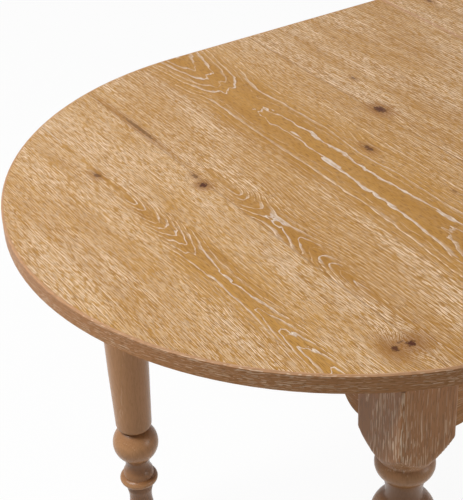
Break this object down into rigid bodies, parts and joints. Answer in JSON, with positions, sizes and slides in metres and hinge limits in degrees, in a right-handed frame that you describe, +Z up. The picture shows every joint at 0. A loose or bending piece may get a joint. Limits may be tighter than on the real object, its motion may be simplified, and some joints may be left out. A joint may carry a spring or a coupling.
{
  "type": "extending dining table",
  "caption": "Extending dining table with a racetrack top that splits across the middle, turned legs, scalloped aprons, geared slides and a folded leaf stored inside.",
  "frame": {"origin": "on the floor under the middle of the closed table", "axes": "+X along the table towards its right half, +Y across it away from the near side, +Z up"},
  "size_m": [1.5298, 0.8, 0.75],
  "materials": {
    "top_oak": "cerused oak veneer, satin lacquer",
    "edging_oak": "cerused oak edging, satin lacquer",
    "leaf_oak": "cerused oak veneer, satin lacquer",
    "leg_oak": "turned oak, limed and lacquered",
    "apron_oak": "cerused oak, satin lacquer",
    "beech": "planed, unfinished",
    "zinc_steel": "zinc plated",
    "bright_steel": "nickel plated",
    "brass": "satin",
    "nylon": "moulded nylon",
    "glide_plastic": "moulded nylon",
    "felt": "pressed wool felt"
  },
  "bodies": {
    "frame": {"corner_bracket_far_left": "zinc_steel", "corner_bracket_far_right": "zinc_steel", "corner_bracket_near_left": "zinc_steel", "corner_bracket_near_right": "zinc_steel", "end_apron_left": "apron_oak", "end_apron_right": "apron_oak", "felt_strips": "felt", "foot_glides": "glide_plastic", "glide_pads": "glide_plastic", "leaf_bearer_left": "beech", "leaf_bearer_right": "beech", "leaf_dowels": "beech", "leaf_hinges": "brass", "leaf_lower_board": "leaf_oak", "leaf_upper_board": "leaf_oak", "leg_bolts": "zinc_steel", "leg_far_left": "leg_oak", "leg_far_right": "leg_oak", "leg_near_left": "leg_oak", "leg_near_right": "leg_oak", "leg_nuts": "zinc_steel", "pinion_pin_far": "bright_steel", "pinion_pin_near": "bright_steel", "rail_bearer_left": "beech", "rail_bearer_right": "beech", "side_apron_far": "apron_oak", "side_apron_near": "apron_oak", "slide_rail_far": "beech", "slide_rail_near": "beech", "slide_stops": "beech"},
    "top_left": {"top_board_left": "top_oak", "top_edging_left": "edging_oak", "runner_left_near": "beech", "runner_left_far": "beech", "rack_left_near": "nylon", "rack_left_far": "nylon", "alignment_dowels": "beech", "lock_posts": "bright_steel"},
    "top_right": {"top_board_right": "top_oak", "top_edging_right": "edging_oak", "runner_right_near": "beech", "runner_right_far": "beech", "rack_right_near": "nylon", "rack_right_far": "nylon", "lock_keepers": "bright_steel"},
    "pinion_near": {"pinion_near": "nylon"},
    "pinion_far": {"pinion_far": "nylon"},
    "lock_near": {"lock_lever_near": "bright_steel"},
    "lock_far": {"lock_lever_far": "bright_steel"}
  },
  "joints": [
    {"name": "left_top_slide", "type": "slide", "parent": "frame", "child": "top_left", "axis": [-1, 0, 0], "range_m": [0, 0.2]},
    {"name": "right_top_slide", "type": "slide", "parent": "frame", "child": "top_right", "axis": [1, 0, 0], "range_m": [0, 0.2]},
    {"name": "near_pinion_spin", "type": "hinge", "parent": "frame", "child": "pinion_near", "pos_m": [0, -0.25, 0.7175], "axis": [0, 0, 1], "range_deg": [-820, 0]},
    {"name": "far_pinion_spin", "type": "hinge", "parent": "frame", "child": "pinion_far", "pos_m": [0, 0.25, 0.7175], "axis": [0, 0, 1], "range_deg": [0, 820]},
    {"name": "near_lock_swing", "type": "hinge", "parent": "top_left", "child": "lock_near", "pos_m": [-0.022, -0.364, 0.72275], "axis": [0, 0, 1], "range_deg": [0, 24]},
    {"name": "far_lock_swing", "type": "hinge", "parent": "top_left", "child": "lock_far", "pos_m": [-0.022, 0.364, 0.72275], "axis": [0, 0, -1], "range_deg": [0, 24]}
  ],
  "couplings": [
    {"joint": "right_top_slide", "follows": "left_top_slide", "ratio": 1},
    {"joint": "near_pinion_spin", "follows": "left_top_slide", "rad_per_m": -71.429},
    {"joint": "far_pinion_spin", "follows": "left_top_slide", "rad_per_m": 71.429}
  ]
}
